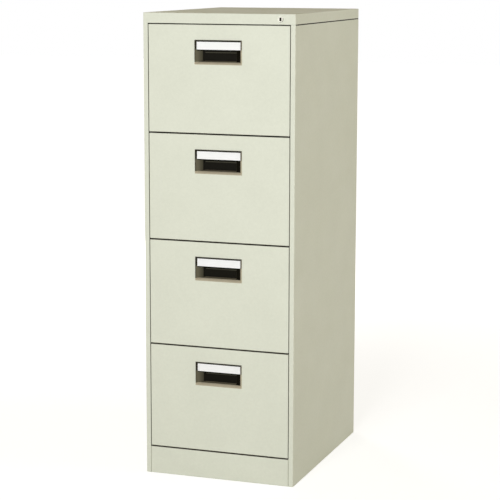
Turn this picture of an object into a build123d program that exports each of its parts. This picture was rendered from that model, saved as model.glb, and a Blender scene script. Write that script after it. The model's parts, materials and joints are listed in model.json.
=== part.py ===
"""Four-drawer vertical filing cabinet in folded sheet steel, in millimetres.

+Z is up, the drawers pull out towards -Y, and the origin is on the floor under the
middle of the case. The case, the drawers, their telescopic slides, the moulded
handles, the file followers and the lock are separate pieces.
"""

import os

from build123d import *

# Case: outer sizes, and the levels that divide its front
case_width = 450.0
case_depth = 620.0
case_height = 1335.0
header_height = 30.0
plinth_height = 81.0
drawer_count = 4
drawer_gap = 4.0
side_gap = 1.8
seam = 0.8
cap_seam = 1.8
stile_seam = 0.2

# Sheet steel: case and drawers, frame members, and the outside radius of a fold
sheet = 0.8
frame_sheet = 1.0
bend_radius = 1.6

# Side panels: the stile at the front, the flanges at the back and the foot
stile_width = 13.7
stile_return = 16.0
rear_flange = 15.0
foot_flange = 15.0
tongue_lap = 12.0
tongue_height = 20.0

# Top cap, plinth and base pan
cap_flange = 29.0
pan_depth = 22.0
base_level = 70.0
base_flange = 20.0

# Uprights that carry the slides, and rails between the drawers
upright_depth = 4.0
upright_crown = 20.0
upright_width = 40.0
front_upright_setback = 74.0
rear_upright_setback = 60.0
rail_height = 16.0
rail_depth = 20.0
rail_setback = 32.0

# Back panel screws
screw_count = 5
screw_radius = 2.0
screw_hole_play = 0.1
screw_head_radius = 4.0
screw_head_height = 2.0
screw_length = 6.0
screw_end_margin = 75.0
screw_slot_width = 1.0
screw_slot_depth = 0.8

# Drawer: liner behind the front, and the tray
liner_flange = 10.0
tray_floor = 12.0
tray_wall = 215.0
tray_rim = 8.8
tray_rear_gap = 25.0

# Telescopic slides, from the case to the drawer
slide_height = 70.0
roller_radius = 12.0
roller_width = 7.8
roller_play = 0.3
roller_recess = 1.2
roller_recess_radius = 8.5
pin_radius = 3.0
pin_play = 0.05
pin_head_radius = 4.5
pin_head = 0.5
pin_end_play = 0.2
pin_wall_gap = 0.5
channel_sheet = 1.2
channel_depth = 10.2
middle_sheet = 1.5
middle_depth = 10.0
slide_side_play = 0.5
inner_side_play = 1.0
pad_thickness = 1.3
pad_play = 0.3
pad_length = 25.0
pad_inset = 3.0
rest_length = 22.0
rest_thickness = 4.0
rest_reach = 7.0
outer_front_setback = 48.0
outer_rear_gap = 20.0
middle_rear_gap = 8.0
roller_end_margin = 14.0
inner_rear_gap = 5.0

# File follower: a sheet that stands in the tray and slides on its floor
follower_sheet = 1.2
follower_width = 340.0
follower_height = 185.0
follower_lean = 28.0
follower_foot_length = 75.0
follower_foot_width = 90.0
follower_corner = 18.0
follower_fold = 3.0
follower_rear_gap = 95.0
follower_travel = 400.0
follower_play = 0.3
guide_slot_width = 8.0
guide_slot_play = 5.0
guide_play = 0.4
guide_start = 20.0
guide_length = 40.0
keeper_width = 40.0
keeper_length = 60.0
keeper_thickness = 1.5

# Handle: a moulded bezel with a card window over a finger recess
handle_width = 140.0
handle_height = 68.0
handle_drop = 44.0
bezel_proud = 2.5
bezel_rim = 5.0
bezel_ridge = 1.5
bezel_bevel_depth = 5.0
bezel_edge = 0.6
card_height = 22.0
card_thickness = 0.4
card_play = 0.2
card_plate = 1.6
tub_wall = 1.2
tub_depth = 20.0
tub_play = 0.3
recess_taper = 16.5
recess_floor_rise = 5.0
back_wall_step = 2.5
step_drop = 9.0
pocket_rise = 14.0

# Lock in the header, and the bar that it lowers
lock_inset = 43.0
lock_drop = 14.7
lock_face_radius = 8.2
lock_face_height = 1.6
lock_barrel_radius = 7.2
lock_hole_play = 0.2
lock_barrel_length = 24.0
plug_radius = 5.5
plug_play = 0.1
plug_proud = 0.3
keyhole_width = 4.0
keyhole_height = 9.0
keyhole_depth = 9.0
nut_flats = 19.5
nut_thickness = 4.0
nut_play = 0.15
cam_gap = 0.5
cam_radius = 9.0
cam_thickness = 2.0
crank_radius = 6.0
crank_pin_radius = 2.0
crank_slot_play = 1.5
bar_thickness = 2.0
bar_width = 8.0
bar_side_gap = 2.7
bar_foot = 30.0
bar_arm_margin = 3.3
bar_tab_width = 10.5
bar_tab_height = 12.0
hook_drop = 56.0
hook_height = 14.0
hook_floor = 6.0
hook_length = 18.0
hook_thickness = 1.5
hook_flange = 14.0
hook_notch = 8.0
hook_clear = 1.0
hook_overlap = 2.5
guide_height = 14.0
guide_level = 150.0
guide_wall = 3.7
guide_inner_wall = 1.0
guide_bar_play = 0.3

# Planes and lines that the pieces share
half_width = case_width / 2
front_y = -case_depth / 2
rear_y = case_depth / 2
panel_inner_x = half_width - sheet
opening_x = half_width - stile_width
cap_bottom = case_height - cap_flange
panel_top = cap_bottom - cap_seam
stile_top = cap_bottom - stile_seam
back_panel_y = rear_y - 2 * sheet
pan_back_y = front_y + pan_depth
drawer_pitch = (case_height - header_height - plinth_height) / drawer_count
front_width = 2 * (opening_x - side_gap)
front_height = drawer_pitch - drawer_gap
drawer_numbers = range(1, drawer_count + 1)

# Slides are stacked from the upright inwards: channel, middle member, channel, tray
outer_web_x = panel_inner_x - upright_depth
outer_tip_x = outer_web_x - channel_depth
middle_web_x = outer_tip_x - slide_side_play
inner_tip_x = middle_web_x - middle_sheet - inner_side_play
tray_half = inner_tip_x - channel_depth
channel_half = roller_radius + roller_play + channel_sheet
middle_half = channel_half + pad_thickness + pad_play + middle_sheet
outer_front_y = front_y + outer_front_setback
outer_rear_y = rear_y - outer_rear_gap
middle_rear_y = outer_rear_y - middle_rear_gap
tray_rear_y = rear_y - tray_rear_gap
inner_rear_y = tray_rear_y - inner_rear_gap
front_upright_y = front_y + front_upright_setback
rear_upright_y = rear_y - rear_upright_setback
rear_pin_tip_x = outer_web_x - channel_sheet - pin_wall_gap
rear_roller_x = rear_pin_tip_x - pin_head - pin_end_play - roller_width
front_pin_tip_x = tray_half + channel_sheet + pin_wall_gap
front_roller_x = front_pin_tip_x + pin_head + pin_end_play
rear_axle_y = middle_rear_y - roller_end_margin
front_axle_y = outer_front_y + roller_end_margin

# Lock: the bar hangs behind the right stile, and its tabs reach over the drawer hooks
lock_x = half_width - lock_inset
lock_z = case_height - lock_drop
cam_front_y = front_y + lock_barrel_length + cam_gap
bar_front_y = cam_front_y + cam_thickness + cam_gap
strip_front_y = bar_front_y + bar_thickness
bar_outer_x = panel_inner_x - bar_side_gap
bar_inner_x = bar_outer_x - bar_width
tab_tip_x = bar_inner_x - bar_tab_width
hook_outer_x = tab_tip_x + hook_overlap


def drawer_level(number):
    """Height of the gap's middle under a drawer, counted from the top."""
    return plinth_height + (drawer_count - number) * drawer_pitch


def facing_front(y):
    """Plane that faces the front at depth y: its own axes are X and Z."""
    return Plane.XZ.offset(-y)


def facing_side(x):
    """Plane that faces the right side at x: its own axes are Y and Z."""
    return Plane.YZ.offset(x)


def joined(*builders):
    """Pieces that are riveted or welded face to face: each stays a solid of its own."""
    return Compound([solid for builder in builders for solid in builder.part.solids()])


def save(piece, name):
    """Label a finished piece and write it."""
    piece.label = name
    export_step(piece, f"parts/{name}.step")


os.makedirs("parts", exist_ok=True)

# Side panels: one sheet folded into the stile, the side and the rear flange, with a
# foot flange to stand on and a tongue that the cap slips over. The stile reaches up to
# the header, and behind it the sheet ends lower, which leaves the seam under the cap
screw_pitch = (panel_top - 2 * screw_end_margin) / (screw_count - 1)
screw_x = panel_inner_x - rear_flange / 2
screw_middle_z = panel_top / 2

with BuildPart() as side_panel_right:
    with BuildSketch():
        with BuildLine():
            FilletPolyline(
                (half_width - rear_flange, rear_y),
                (half_width, rear_y),
                (half_width, front_y),
                (opening_x, front_y),
                (opening_x, front_y + stile_return),
                radius=bend_radius,
            )
            offset(amount=sheet, side=Side.RIGHT)
        make_face()
    extrude(amount=stile_top)
    with BuildSketch(Plane.XY.offset(panel_top)):
        with Locations((half_width, rear_y)):
            Rectangle(sheet, case_depth - bend_radius, align=(Align.MAX, Align.MAX))
            Rectangle(rear_flange, case_depth - stile_return, align=(Align.MAX, Align.MAX))
    extrude(amount=cap_seam, mode=Mode.SUBTRACT)
    with BuildSketch(facing_front(pan_back_y)):
        with Locations((panel_inner_x, 0)):
            Rectangle(foot_flange, sheet, align=(Align.MAX, Align.MIN))
        with Locations((panel_inner_x, panel_top - tongue_lap)):
            Rectangle(sheet, tongue_lap + tongue_height, align=(Align.MAX, Align.MIN))
    extrude(amount=pan_back_y - back_panel_y + sheet)
    with BuildSketch(facing_front(rear_y)):
        with Locations((screw_x, screw_middle_z)):
            with GridLocations(0, screw_pitch, 1, screw_count):
                Circle(screw_radius + screw_hole_play)
    extrude(amount=2 * sheet, mode=Mode.SUBTRACT)
save(side_panel_right.part, "side_panel_right")

with BuildPart() as side_panel_left:
    mirror(side_panel_right.part, about=Plane.YZ)
save(side_panel_left.part, "side_panel_left")

# Top cap: a shallow tray upside down, whose front flange is the header
with BuildPart() as top_cap:
    with BuildSketch(Plane.XY.offset(cap_bottom)):
        Rectangle(case_width, case_depth)
    extrude(amount=cap_flange)
    cap_top_face = top_cap.faces().sort_by(Axis.Z)[-1]
    fillet(top_cap.edges().filter_by(Axis.Z) + cap_top_face.edges(), radius=bend_radius)
    offset(amount=-sheet, openings=top_cap.faces().sort_by(Axis.Z)[0])
    with BuildSketch(facing_front(front_y)):
        with Locations((lock_x, lock_z)):
            Circle(lock_barrel_radius + lock_hole_play)
    extrude(amount=-pan_depth, mode=Mode.SUBTRACT)
save(top_cap.part, "top_cap")

# Back panel: a flat sheet inside the rear flanges
with BuildPart() as back_panel:
    with BuildSketch(facing_front(back_panel_y)):
        with Locations((0, 0)):
            Rectangle(
                2 * (panel_inner_x - seam),
                case_height - sheet - 2 * seam,
                align=(Align.CENTER, Align.MIN),
            )
        with Locations((0, screw_middle_z)):
            with GridLocations(2 * screw_x, screw_pitch, 2, screw_count):
                Circle(screw_radius + screw_hole_play, mode=Mode.SUBTRACT)
    extrude(amount=-sheet)
save(back_panel.part, "back_panel")

# Back panel screws: slotted pan heads
with BuildPart() as case_screws:
    with BuildSketch(facing_front(rear_y)):
        with Locations((0, screw_middle_z)):
            with GridLocations(2 * screw_x, screw_pitch, 2, screw_count):
                Circle(screw_head_radius)
    extrude(amount=-screw_head_height)
    fillet(case_screws.edges().group_by(Axis.Y)[-1], radius=screw_head_height / 2)
    with BuildSketch(facing_front(rear_y)):
        with Locations((0, screw_middle_z)):
            with GridLocations(2 * screw_x, screw_pitch, 2, screw_count):
                Circle(screw_radius)
    extrude(amount=screw_length)
    with BuildSketch(facing_front(rear_y + screw_head_height)):
        with Locations((0, screw_middle_z)):
            with GridLocations(2 * screw_x, screw_pitch, 2, screw_count):
                Rectangle(2 * screw_head_radius, screw_slot_width)
    extrude(amount=screw_slot_depth, mode=Mode.SUBTRACT)
save(case_screws.part, "case_screws")

# Plinth: a pan between the stiles, open to the back
with BuildPart() as plinth:
    with BuildSketch(facing_front(front_y)):
        Rectangle(
            2 * (opening_x - seam),
            plinth_height - drawer_gap / 2,
            align=(Align.CENTER, Align.MIN),
        )
    extrude(amount=-pan_depth)
    plinth_face = plinth.faces().sort_by(Axis.Y)[0]
    fillet(plinth_face.edges() + plinth.edges().filter_by(Axis.Y), radius=bend_radius)
    offset(amount=-sheet, openings=plinth.faces().sort_by(Axis.Y)[-1])
save(plinth.part, "plinth")

# Base pan: closes the case under the lowest drawer
with BuildPart() as base_pan:
    with BuildSketch(Plane.XY.offset(base_level)):
        with Locations((0, pan_back_y)):
            Rectangle(
                2 * panel_inner_x,
                back_panel_y - pan_back_y,
                align=(Align.CENTER, Align.MIN),
            )
    extrude(amount=-base_flange)
    base_face = base_pan.faces().sort_by(Axis.Z)[-1]
    fillet(base_face.edges(), radius=bend_radius)
    offset(amount=-sheet, openings=base_pan.faces().sort_by(Axis.Z)[0])
save(base_pan.part, "base_pan")

# Uprights: four hat sections on the side panels, from the base pan to the cap
upright_top = panel_top - tongue_lap - seam
upright_face_x = panel_inner_x - upright_depth

with BuildPart() as uprights:
    with BuildSketch(Plane.XY.offset(base_level)):
        for upright_y in (front_upright_y, rear_upright_y):
            with Locations((panel_inner_x, upright_y)):
                Rectangle(upright_depth, upright_crown, align=(Align.MAX, Align.CENTER))
                Rectangle(frame_sheet, upright_width, align=(Align.MAX, Align.CENTER))
            with Locations((upright_face_x + frame_sheet, upright_y)):
                Rectangle(
                    upright_depth,
                    upright_crown - 2 * frame_sheet,
                    align=(Align.MIN, Align.CENTER),
                    mode=Mode.SUBTRACT,
                )
        mirror(about=Plane.YZ)
    extrude(amount=upright_top - base_level)
save(uprights.part, "uprights")

# Cross rails: a channel behind the gap between each two drawers
with BuildPart() as cross_rails:
    for number in drawer_numbers[:-1]:
        with BuildSketch(facing_side(-panel_inner_x)):
            with Locations((front_y + rail_setback, drawer_level(number))):
                Rectangle(rail_depth, rail_height, align=(Align.MIN, Align.CENTER))
            with Locations((front_y + rail_setback + frame_sheet, drawer_level(number))):
                Rectangle(
                    rail_depth,
                    rail_height - 2 * frame_sheet,
                    align=(Align.MIN, Align.CENTER),
                    mode=Mode.SUBTRACT,
                )
        extrude(amount=2 * panel_inner_x)
save(cross_rails.part, "cross_rails")

# Outer slide channels: on the uprights, open towards the drawer
with BuildPart() as slide_outer:
    for number in drawer_numbers:
        slide_z = drawer_level(number) + slide_height
        with BuildSketch(facing_front(outer_front_y)):
            with BuildLine():
                FilletPolyline(
                    (outer_tip_x, slide_z + channel_half),
                    (outer_web_x, slide_z + channel_half),
                    (outer_web_x, slide_z - channel_half),
                    (outer_tip_x, slide_z - channel_half),
                    radius=bend_radius,
                )
                offset(amount=channel_sheet, side=Side.RIGHT)
            make_face()
        extrude(amount=outer_front_y - outer_rear_y)
    mirror(about=Plane.YZ)
save(slide_outer.part, "slide_outer")

# Slide rests: nylon blocks under the front ends, on which the middle members slide
rest_top = middle_half + pad_play
rest_outer_x = outer_web_x - channel_sheet

with BuildPart() as slide_rests:
    for number in drawer_numbers:
        slide_z = drawer_level(number) + slide_height
        with BuildSketch(facing_front(outer_front_y)):
            with Locations((rest_outer_x, slide_z - rest_top)):
                Rectangle(
                    rest_outer_x - middle_web_x + rest_reach,
                    rest_thickness,
                    align=(Align.MAX, Align.MAX),
                )
            with Locations((rest_outer_x, slide_z - channel_half)):
                Rectangle(
                    rest_outer_x - outer_tip_x - slide_side_play,
                    rest_top + rest_thickness - channel_half,
                    align=(Align.MAX, Align.MAX),
                )
        extrude(amount=-rest_length)
    mirror(about=Plane.YZ)
save(slide_rests.part, "slide_rests")


def build_slide_middle(number):
    """Middle members: channels that carry a roller pin at each end."""
    slide_z = drawer_level(number) + slide_height
    web_inner_x = middle_web_x - middle_sheet
    with BuildPart() as slide_middle:
        with BuildSketch(facing_front(outer_front_y)):
            with BuildLine():
                FilletPolyline(
                    (middle_web_x - middle_depth, slide_z + middle_half),
                    (middle_web_x, slide_z + middle_half),
                    (middle_web_x, slide_z - middle_half),
                    (middle_web_x - middle_depth, slide_z - middle_half),
                    radius=bend_radius,
                )
                offset(amount=middle_sheet, side=Side.RIGHT)
            make_face()
        extrude(amount=outer_front_y - middle_rear_y)
        with BuildSketch(facing_side(middle_web_x)):
            with Locations((rear_axle_y, slide_z)):
                Circle(pin_radius)
        extrude(amount=rear_pin_tip_x - middle_web_x)
        with BuildSketch(facing_side(rear_pin_tip_x)):
            with Locations((rear_axle_y, slide_z)):
                Circle(pin_head_radius)
        extrude(amount=-pin_head)
        with BuildSketch(facing_side(web_inner_x)):
            with Locations((front_axle_y, slide_z)):
                Circle(pin_radius)
        extrude(amount=front_pin_tip_x - web_inner_x)
        with BuildSketch(facing_side(front_pin_tip_x)):
            with Locations((front_axle_y, slide_z)):
                Circle(pin_head_radius)
        extrude(amount=pin_head)
        mirror(about=Plane.YZ)
    save(slide_middle.part, f"drawer_{number}_slide_middle")


def build_rollers(name, start_x, axle_y, axle_z):
    """A pair of nylon rollers on one axis, one at each side of the drawer."""
    with BuildPart() as rollers:
        with BuildSketch(facing_side(start_x)):
            with Locations((axle_y, axle_z)):
                Circle(roller_radius)
                Circle(pin_radius + pin_play, mode=Mode.SUBTRACT)
        extrude(amount=roller_width)
        for recess_x, direction in ((start_x, 1), (start_x + roller_width, -1)):
            with BuildSketch(facing_side(recess_x)):
                with Locations((axle_y, axle_z)):
                    Circle(roller_recess_radius)
                    Circle(pin_head_radius, mode=Mode.SUBTRACT)
            extrude(amount=direction * roller_recess, mode=Mode.SUBTRACT)
        mirror(about=Plane.YZ)
    save(rollers.part, name)


def build_slide_inner(number):
    """Inner channels: on the drawer's sides, open outwards."""
    slide_z = drawer_level(number) + slide_height
    with BuildPart() as slide_inner:
        with BuildSketch(facing_front(pan_back_y)):
            with BuildLine():
                FilletPolyline(
                    (inner_tip_x, slide_z + channel_half),
                    (tray_half, slide_z + channel_half),
                    (tray_half, slide_z - channel_half),
                    (inner_tip_x, slide_z - channel_half),
                    radius=bend_radius,
                )
                offset(amount=channel_sheet, side=Side.LEFT)
            make_face()
        extrude(amount=pan_back_y - inner_rear_y)
        mirror(about=Plane.YZ)
    save(slide_inner.part, f"drawer_{number}_slide_inner")


def build_slide_pads(number):
    """Nylon pads on the inner channels' rear ends, sliding in the middle members."""
    slide_z = drawer_level(number) + slide_height
    with BuildPart() as slide_pads:
        with BuildSketch(facing_front(inner_rear_y)):
            with Locations((tray_half + pad_inset, slide_z + channel_half)):
                Rectangle(
                    channel_depth - pad_inset,
                    pad_thickness,
                    align=(Align.MIN, Align.MIN),
                )
            with Locations((tray_half + pad_inset, slide_z - channel_half)):
                Rectangle(
                    channel_depth - pad_inset,
                    pad_thickness,
                    align=(Align.MIN, Align.MAX),
                )
        extrude(amount=pad_length)
        mirror(about=Plane.YZ)
    save(slide_pads.part, f"drawer_{number}_slide_pads")


def build_front(number):
    """Drawer front: a pan with a window for the handle's tub."""
    level = drawer_level(number)
    with BuildPart() as front:
        with BuildSketch(facing_front(front_y)):
            with Locations((0, level + drawer_pitch / 2)):
                Rectangle(front_width, front_height)
        extrude(amount=-pan_depth)
        front_face = front.faces().sort_by(Axis.Y)[0]
        fillet(front_face.edges() + front.edges().filter_by(Axis.Y), radius=bend_radius)
        offset(amount=-sheet, openings=front.faces().sort_by(Axis.Y)[-1])
        with BuildSketch(facing_front(front_y)):
            with Locations((0, handle_middle(number))):
                Rectangle(tub_width + 2 * tub_play, tub_height + 2 * tub_play)
        extrude(amount=-2 * sheet, mode=Mode.SUBTRACT)
    save(front.part, f"drawer_{number}_front")


def build_liner(number):
    """Liner: a pan that closes the front's back, and the lock's hook bracket on it."""
    level = drawer_level(number)
    hook_bottom = level + drawer_pitch - hook_drop
    notch_start = bar_front_y - (hook_notch - bar_thickness) / 2
    with BuildPart() as liner:
        with BuildSketch(facing_front(pan_back_y)):
            with Locations((0, level + drawer_pitch / 2)):
                Rectangle(front_width - 2 * sheet, front_height - 2 * sheet)
        extrude(amount=liner_flange)
        liner_back = liner.faces().sort_by(Axis.Y)[-1]
        fillet(liner_back.edges() + liner.edges().filter_by(Axis.Y), radius=bend_radius)
        offset(amount=-sheet, openings=liner.faces().sort_by(Axis.Y)[0])
    with BuildPart() as hook:
        with BuildSketch(Plane.XY.offset(hook_bottom)):
            with BuildLine():
                FilletPolyline(
                    (hook_outer_x - hook_flange, pan_back_y + hook_thickness),
                    (hook_outer_x - hook_thickness, pan_back_y + hook_thickness),
                    (hook_outer_x - hook_thickness, pan_back_y + hook_length),
                    radius=bend_radius,
                )
                offset(amount=hook_thickness, side=Side.RIGHT)
            make_face()
        extrude(amount=hook_height)
        with BuildSketch(facing_side(hook_outer_x)):
            with Locations((notch_start, hook_bottom + hook_floor)):
                Rectangle(hook_notch, hook_height, align=(Align.MIN, Align.MIN))
        extrude(amount=-2 * hook_thickness, mode=Mode.SUBTRACT)
    save(joined(liner, hook), f"drawer_{number}_liner")


def build_tray(number):
    """Tray: the floor, a folded side on each edge of it, and the rear wall behind them."""
    floor_z = drawer_level(number) + tray_floor
    side_rear_y = tray_rear_y - sheet
    with BuildPart() as floor_sheet:
        with BuildSketch(Plane.XY.offset(floor_z)):
            with Locations((0, pan_back_y)):
                Rectangle(
                    2 * tray_half,
                    side_rear_y - pan_back_y,
                    align=(Align.CENTER, Align.MIN),
                )
            with Locations((0, (slot_front_y + slot_rear_y) / 2)):
                SlotOverall(
                    slot_rear_y - slot_front_y,
                    guide_slot_width,
                    rotation=90,
                    mode=Mode.SUBTRACT,
                )
        extrude(amount=sheet)
    with BuildPart() as tray_sides:
        with BuildSketch(facing_front(pan_back_y)):
            with BuildLine():
                FilletPolyline(
                    (tray_half - tray_rim, floor_z + tray_wall),
                    (tray_half, floor_z + tray_wall),
                    (tray_half, floor_z + sheet),
                    (tray_half - tray_rim, floor_z + sheet),
                    radius=bend_radius,
                )
                offset(amount=sheet, side=Side.RIGHT)
            make_face()
        extrude(amount=pan_back_y - side_rear_y)
        mirror(about=Plane.YZ)
    with BuildPart() as rear_wall:
        with BuildSketch(facing_front(side_rear_y)):
            with Locations((0, floor_z + tray_wall / 2)):
                RectangleRounded(2 * tray_half, tray_wall, bend_radius)
        extrude(amount=-sheet)
    save(joined(floor_sheet, tray_sides, rear_wall), f"drawer_{number}_tray")


def build_follower(number):
    """File follower: a leaning plate with a foot, guided in the tray's slot."""
    floor_z = drawer_level(number) + tray_floor
    foot_z = floor_z + sheet + follower_play
    keeper_z = floor_z - follower_play
    with BuildPart() as follower:
        with BuildSketch(facing_side(-follower_width / 2)):
            with BuildLine():
                FilletPolyline(
                    (follower_y + follower_foot_length, foot_z),
                    (follower_y, foot_z),
                    (follower_y + follower_lean, foot_z + follower_height),
                    radius=follower_fold,
                )
                offset(amount=follower_sheet, side=Side.RIGHT)
            make_face()
        extrude(amount=follower_width)
        side_faces = follower.faces().filter_by(Axis.X)
        fillet(side_faces.edges().group_by(Axis.Z)[-1], radius=follower_corner)
        with BuildSketch(Plane.XY.offset(foot_z)):
            with Locations((0, follower_y + follower_fold + follower_sheet)):
                Rectangle(
                    follower_width,
                    follower_foot_length,
                    align=(Align.CENTER, Align.MIN),
                )
                Rectangle(
                    follower_foot_width,
                    follower_foot_length,
                    align=(Align.CENTER, Align.MIN),
                    mode=Mode.SUBTRACT,
                )
        extrude(amount=follower_sheet, mode=Mode.SUBTRACT)
        with BuildSketch(Plane.XY.offset(keeper_z - keeper_thickness)):
            with Locations((0, follower_y + guide_start)):
                Rectangle(
                    guide_slot_width - 2 * guide_play,
                    guide_length,
                    align=(Align.CENTER, Align.MIN),
                )
        extrude(amount=foot_z - keeper_z + keeper_thickness)
        with BuildSketch(Plane.XY.offset(keeper_z - keeper_thickness)):
            with Locations((0, follower_y + guide_start + guide_length / 2)):
                Rectangle(keeper_width, keeper_length)
        extrude(amount=keeper_thickness)
    save(follower.part, f"drawer_{number}_follower")


# Follower places: it rests at the back of the tray, and its slot covers the travel
follower_y = tray_rear_y - follower_rear_gap
slot_rear_y = follower_y + guide_start + guide_length + guide_slot_play
slot_front_y = follower_y + guide_start - follower_travel - guide_slot_play

# Handle places: the tub's wall stands around the slope that runs into it
window_width = handle_width - 2 * bezel_rim
window_height = handle_height - 2 * bezel_rim
slope_in_tub = (bezel_rim - bezel_ridge) * (1 - bezel_proud / bezel_bevel_depth)
tub_width = window_width + 2 * (slope_in_tub + tub_wall)
tub_height = window_height + 2 * (slope_in_tub + tub_wall)


def handle_middle(number):
    """Height of the middle of a drawer's handle."""
    return drawer_level(number) + drawer_pitch - handle_drop - handle_height / 2


def build_handle(number):
    """Handle: a bevelled frame, the card plate at its top, and a finger recess."""
    middle_z = handle_middle(number)
    window_top = middle_z + window_height / 2
    window_bottom = middle_z - window_height / 2
    card_bottom = window_top - card_height
    ridge_y = front_y - bezel_proud
    plate_y = ridge_y + bezel_bevel_depth
    tub_back_y = front_y + tub_depth
    recess_back_y = tub_back_y - tub_wall - back_wall_step
    recess_middle = (window_bottom + card_bottom) / 2
    recess_height = card_bottom - window_bottom
    with BuildPart() as handle:
        with BuildSketch(facing_front(ridge_y)):
            with Locations((0, middle_z)):
                Rectangle(handle_width, handle_height)
        extrude(amount=-bezel_proud)
        chamfer(handle.faces().sort_by(Axis.Y)[0].edges(), length=bezel_edge)
        with BuildSketch(facing_front(front_y)):
            with Locations((0, middle_z)):
                Rectangle(tub_width, tub_height)
        extrude(amount=-tub_depth)
        with BuildSketch(facing_front(ridge_y)):
            with Locations((0, middle_z)):
                Rectangle(handle_width - 2 * bezel_ridge, handle_height - 2 * bezel_ridge)
        with BuildSketch(facing_front(plate_y)):
            with Locations((0, middle_z)):
                Rectangle(window_width, window_height)
        loft(mode=Mode.SUBTRACT)
        with BuildSketch(facing_front(plate_y)):
            with Locations((0, recess_middle)):
                Rectangle(window_width, recess_height)
        with BuildSketch(facing_front(recess_back_y)):
            with Locations((0, recess_middle + recess_floor_rise / 2)):
                Rectangle(
                    window_width - 2 * recess_taper,
                    recess_height - recess_floor_rise,
                )
        loft(mode=Mode.SUBTRACT)
        with BuildSketch(facing_front(plate_y + card_plate)):
            with Locations((0, card_bottom - step_drop)):
                Rectangle(
                    window_width - 2 * recess_taper,
                    step_drop + pocket_rise,
                    align=(Align.CENTER, Align.MIN),
                )
        extrude(amount=plate_y + card_plate - tub_back_y + tub_wall, mode=Mode.SUBTRACT)
    save(handle.part, f"drawer_{number}_handle")


def build_card(number):
    """Index card: blank paper on the handle's card plate."""
    card_middle = handle_middle(number) + window_height / 2 - card_height / 2
    plate_y = front_y - bezel_proud + bezel_bevel_depth
    with BuildPart() as card:
        with BuildSketch(facing_front(plate_y)):
            with Locations((0, card_middle)):
                Rectangle(window_width - 2 * card_play, card_height - 2 * card_play)
        extrude(amount=card_thickness)
    save(card.part, f"drawer_{number}_label_card")


for number in drawer_numbers:
    axle_z = drawer_level(number) + slide_height
    build_front(number)
    build_liner(number)
    build_tray(number)
    build_handle(number)
    build_card(number)
    build_follower(number)
    build_slide_inner(number)
    build_slide_pads(number)
    build_slide_middle(number)
    build_rollers(f"drawer_{number}_rollers_rear", rear_roller_x, rear_axle_y, axle_z)
    build_rollers(f"drawer_{number}_rollers_front", front_roller_x, front_axle_y, axle_z)

# Lock housing: a threaded barrel through the header, with its nut behind the sheet
with BuildPart() as lock_housing:
    with BuildSketch(facing_front(front_y)):
        with Locations((lock_x, lock_z)):
            Circle(lock_face_radius)
    extrude(amount=lock_face_height)
    chamfer(lock_housing.edges().group_by(Axis.Y)[0], length=lock_face_height / 3)
    with BuildSketch(facing_front(front_y)):
        with Locations((lock_x, lock_z)):
            Circle(lock_barrel_radius)
    extrude(amount=-lock_barrel_length)
    with BuildSketch(facing_front(front_y - lock_face_height)):
        with Locations((lock_x, lock_z)):
            Circle(plug_radius + plug_play)
    extrude(amount=-lock_face_height - lock_barrel_length, mode=Mode.SUBTRACT)
    with BuildSketch(facing_front(front_y + sheet)):
        with Locations((lock_x, lock_z)):
            RegularPolygon(nut_flats / 2, 6, major_radius=False, rotation=30)
            Circle(lock_barrel_radius + nut_play, mode=Mode.SUBTRACT)
    extrude(amount=-nut_thickness)
save(lock_housing.part, "lock_housing")

# Lock plug: turns in the housing, with the keyhole in its face
with BuildPart() as lock_plug:
    with BuildSketch(facing_front(front_y - lock_face_height - plug_proud)):
        with Locations((lock_x, lock_z)):
            Circle(plug_radius)
    extrude(amount=front_y - lock_face_height - plug_proud - cam_front_y)
    with BuildSketch(facing_front(front_y - lock_face_height - plug_proud)):
        with Locations((lock_x, lock_z)):
            SlotOverall(keyhole_height, keyhole_width, rotation=90)
    extrude(amount=-keyhole_depth, mode=Mode.SUBTRACT)
save(lock_plug.part, "lock_plug")

# Lock cam: a disc on the plug's end, whose crank pin stands above the axis when the
# lock is open
with BuildPart() as lock_cam:
    with BuildSketch(facing_front(cam_front_y)):
        with Locations((lock_x, lock_z)):
            Circle(cam_radius)
    extrude(amount=-cam_thickness)
    with BuildSketch(facing_front(cam_front_y + cam_thickness)):
        with Locations((lock_x, lock_z + crank_radius)):
            Circle(crank_pin_radius)
    extrude(amount=-2 * cam_gap - bar_thickness)
save(lock_cam.part, "lock_cam")

# Lock bar: a strip behind the stile that carries, on its front, the arm that the crank
# pin lifts and a tab over each drawer's hook
slot_half_height = crank_pin_radius + crank_slot_play
arm_middle_z = lock_z + crank_radius
arm_inner_x = lock_x - slot_half_height - bar_arm_margin
bar_bottom = plinth_height + bar_foot

with BuildPart() as bar_strip:
    with BuildSketch(facing_front(strip_front_y)):
        with Locations((bar_inner_x, bar_bottom)):
            Rectangle(
                bar_width,
                arm_middle_z + slot_half_height + bar_arm_margin - bar_bottom,
                align=(Align.MIN, Align.MIN),
            )
    extrude(amount=-bar_thickness)

with BuildPart() as bar_arms:
    with BuildSketch(facing_front(bar_front_y)):
        with Locations((arm_inner_x, arm_middle_z)):
            Rectangle(
                bar_outer_x - arm_inner_x,
                2 * (slot_half_height + bar_arm_margin),
                align=(Align.MIN, Align.CENTER),
            )
        with Locations((lock_x - slot_half_height, arm_middle_z)):
            Rectangle(
                crank_radius + 2 * slot_half_height,
                2 * slot_half_height,
                align=(Align.MIN, Align.CENTER),
                mode=Mode.SUBTRACT,
            )
        for number in drawer_numbers:
            hook_top = drawer_level(number) + drawer_pitch - hook_drop + hook_height
            with Locations((tab_tip_x, hook_top + hook_clear)):
                Rectangle(
                    bar_tab_width + bar_width,
                    bar_tab_height,
                    align=(Align.MIN, Align.MIN),
                )
    extrude(amount=-bar_thickness)
save(joined(bar_strip, bar_arms), "lock_bar")

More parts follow.
